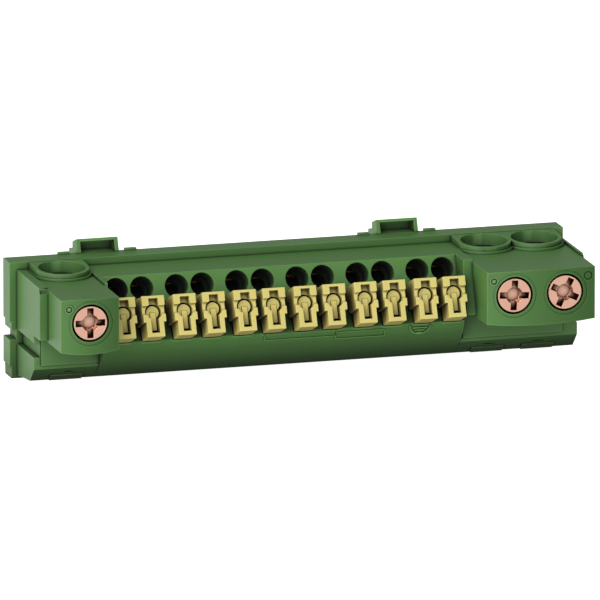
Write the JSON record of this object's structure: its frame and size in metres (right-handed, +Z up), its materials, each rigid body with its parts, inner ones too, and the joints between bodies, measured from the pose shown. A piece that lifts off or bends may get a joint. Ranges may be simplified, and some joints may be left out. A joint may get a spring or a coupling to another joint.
{
  "type": "earth terminal bar",
  "caption": "Green moulded earth terminal bar with a row of lever-released push-in wire holes between cage clamp blocks, on a rear cover with snap clips.",
  "frame": {"origin": "centre of the rear cover's flat back face", "axes": "+X along the bar towards the end with two clamp screws, +Y into the board behind the bar, +Z up along the cable entries, out of their mouths"},
  "size_m": [0.111, 0.0355, 0.0255],
  "materials": {
    "green_plastic": "satin moulded plastic, mid green",
    "cream_plastic": "satin moulded plastic, pale yellow",
    "bar_brass": "plain stamped brass strip",
    "spring_steel": "bright stainless strip",
    "screw_steel": "steel with a copper-coloured bright plating",
    "cage_steel": "zinc-plated folded steel"
  },
  "bodies": {
    "bar": {"housing": "green_plastic", "rear_cover": "green_plastic", "busbar": "bar_brass", "clamp_spring_1": "spring_steel", "clamp_spring_2": "spring_steel", "clamp_spring_3": "spring_steel", "clamp_spring_4": "spring_steel", "clamp_spring_5": "spring_steel", "clamp_spring_6": "spring_steel", "clamp_spring_7": "spring_steel", "clamp_spring_8": "spring_steel", "clamp_spring_9": "spring_steel", "clamp_spring_10": "spring_steel", "clamp_spring_11": "spring_steel", "clamp_spring_12": "spring_steel"},
    "lever_1": {"release_lever_1": "cream_plastic"},
    "lever_2": {"release_lever_2": "cream_plastic"},
    "lever_3": {"release_lever_3": "cream_plastic"},
    "lever_4": {"release_lever_4": "cream_plastic"},
    "lever_5": {"release_lever_5": "cream_plastic"},
    "lever_6": {"release_lever_6": "cream_plastic"},
    "lever_7": {"release_lever_7": "cream_plastic"},
    "lever_8": {"release_lever_8": "cream_plastic"},
    "lever_9": {"release_lever_9": "cream_plastic"},
    "lever_10": {"release_lever_10": "cream_plastic"},
    "lever_11": {"release_lever_11": "cream_plastic"},
    "lever_12": {"release_lever_12": "cream_plastic"},
    "screw_1": {"clamp_screw_1": "screw_steel"},
    "cage_1": {"cage_clamp_1": "cage_steel"},
    "screw_2": {"clamp_screw_2": "screw_steel"},
    "cage_2": {"cage_clamp_2": "cage_steel"},
    "screw_3": {"clamp_screw_3": "screw_steel"},
    "cage_3": {"cage_clamp_3": "cage_steel"}
  },
  "joints": [
    {"name": "lever_press_1", "type": "slide", "parent": "bar", "child": "lever_1", "axis": [0, 0.9239, -0.3827], "range_m": [0, 0.0018], "stiffness_N_per_m": 3000, "springref_m": -0.001, "deforming": ["clamp_spring_1"]},
    {"name": "lever_press_2", "type": "slide", "parent": "bar", "child": "lever_2", "axis": [0, 0.9239, -0.3827], "range_m": [0, 0.0018], "stiffness_N_per_m": 3000, "springref_m": -0.001, "deforming": ["clamp_spring_2"]},
    {"name": "lever_press_3", "type": "slide", "parent": "bar", "child": "lever_3", "axis": [0, 0.9239, -0.3827], "range_m": [0, 0.0018], "stiffness_N_per_m": 3000, "springref_m": -0.001, "deforming": ["clamp_spring_3"]},
    {"name": "lever_press_4", "type": "slide", "parent": "bar", "child": "lever_4", "axis": [0, 0.9239, -0.3827], "range_m": [0, 0.0018], "stiffness_N_per_m": 3000, "springref_m": -0.001, "deforming": ["clamp_spring_4"]},
    {"name": "lever_press_5", "type": "slide", "parent": "bar", "child": "lever_5", "axis": [0, 0.9239, -0.3827], "range_m": [0, 0.0018], "stiffness_N_per_m": 3000, "springref_m": -0.001, "deforming": ["clamp_spring_5"]},
    {"name": "lever_press_6", "type": "slide", "parent": "bar", "child": "lever_6", "axis": [0, 0.9239, -0.3827], "range_m": [0, 0.0018], "stiffness_N_per_m": 3000, "springref_m": -0.001, "deforming": ["clamp_spring_6"]},
    {"name": "lever_press_7", "type": "slide", "parent": "bar", "child": "lever_7", "axis": [0, 0.9239, -0.3827], "range_m": [0, 0.0018], "stiffness_N_per_m": 3000, "springref_m": -0.001, "deforming": ["clamp_spring_7"]},
    {"name": "lever_press_8", "type": "slide", "parent": "bar", "child": "lever_8", "axis": [0, 0.9239, -0.3827], "range_m": [0, 0.0018], "stiffness_N_per_m": 3000, "springref_m": -0.001, "deforming": ["clamp_spring_8"]},
    {"name": "lever_press_9", "type": "slide", "parent": "bar", "child": "lever_9", "axis": [0, 0.9239, -0.3827], "range_m": [0, 0.0018], "stiffness_N_per_m": 3000, "springref_m": -0.001, "deforming": ["clamp_spring_9"]},
    {"name": "lever_press_10", "type": "slide", "parent": "bar", "child": "lever_10", "axis": [0, 0.9239, -0.3827], "range_m": [0, 0.0018], "stiffness_N_per_m": 3000, "springref_m": -0.001, "deforming": ["clamp_spring_10"]},
    {"name": "lever_press_11", "type": "slide", "parent": "bar", "child": "lever_11", "axis": [0, 0.9239, -0.3827], "range_m": [0, 0.0018], "stiffness_N_per_m": 3000, "springref_m": -0.001, "deforming": ["clamp_spring_11"]},
    {"name": "lever_press_12", "type": "slide", "parent": "bar", "child": "lever_12", "axis": [0, 0.9239, -0.3827], "range_m": [0, 0.0018], "stiffness_N_per_m": 3000, "springref_m": -0.001, "deforming": ["clamp_spring_12"]},
    {"name": "screw_turn_1", "type": "hinge", "parent": "bar", "child": "screw_1", "pos_m": [-0.04634, -0.02, 0.00468], "axis": [0, 1, 0], "range_deg": [0, 2521]},
    {"name": "cage_draw_1", "type": "slide", "parent": "bar", "child": "cage_1", "axis": [0, -1, 0], "range_m": [0, 0.0056]},
    {"name": "screw_turn_2", "type": "hinge", "parent": "bar", "child": "screw_2", "pos_m": [0.03809, -0.02, 0.00468], "axis": [0, 1, 0], "range_deg": [0, 2521]},
    {"name": "cage_draw_2", "type": "slide", "parent": "bar", "child": "cage_2", "axis": [0, -1, 0], "range_m": [0, 0.0056]},
    {"name": "screw_turn_3", "type": "hinge", "parent": "bar", "child": "screw_3", "pos_m": [0.04824, -0.02, 0.00468], "axis": [0, 1, 0], "range_deg": [0, 2521]},
    {"name": "cage_draw_3", "type": "slide", "parent": "bar", "child": "cage_3", "axis": [0, -1, 0], "range_m": [0, 0.0056]}
  ],
  "couplings": [
    {"joint": "screw_turn_1", "follows": "cage_draw_1", "rad_per_m": 7854},
    {"joint": "screw_turn_2", "follows": "cage_draw_2", "rad_per_m": 7854},
    {"joint": "screw_turn_3", "follows": "cage_draw_3", "rad_per_m": 7854}
  ]
}
